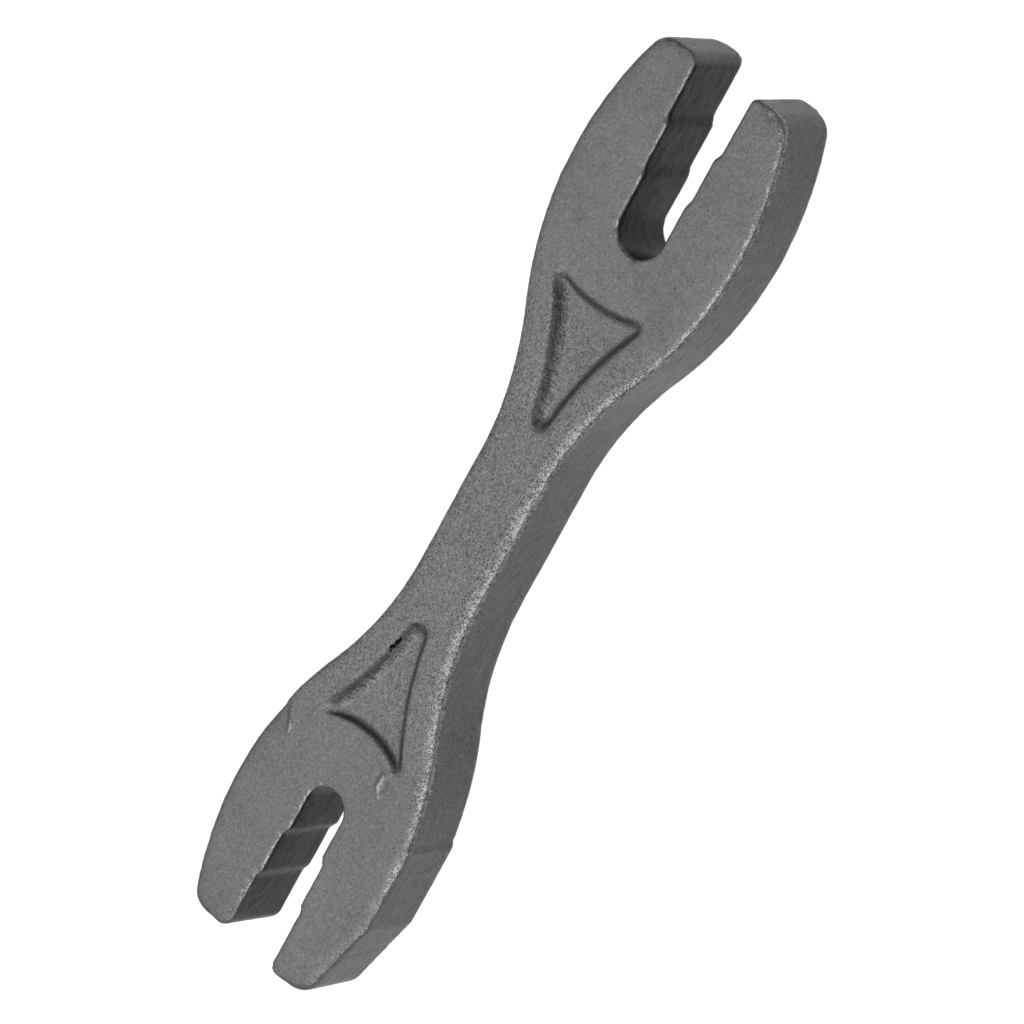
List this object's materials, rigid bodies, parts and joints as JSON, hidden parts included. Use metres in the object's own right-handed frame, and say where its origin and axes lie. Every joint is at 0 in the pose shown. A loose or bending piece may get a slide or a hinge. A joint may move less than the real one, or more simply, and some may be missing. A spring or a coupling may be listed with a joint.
{
  "type": "double-ended slotted wrench",
  "caption": "Flat double-ended wrench with a stepped slot in each head, a narrow waist and an arrowhead hollow beside each jaw.",
  "frame": {"origin": "on the flat back, under the middle of the wrench", "axes": "+X along the wrench towards the head with the wider slot, +Y across it, +Z out of the face with the hollows"},
  "size_m": [0.1054, 0.0222, 0.0093],
  "materials": {
    "blasted_steel": "shot-blasted casting, dull dark grey, bright where the edges are worn"
  },
  "bodies": {
    "root": {"wrench_body": "blasted_steel"}
  },
  "joints": []
}
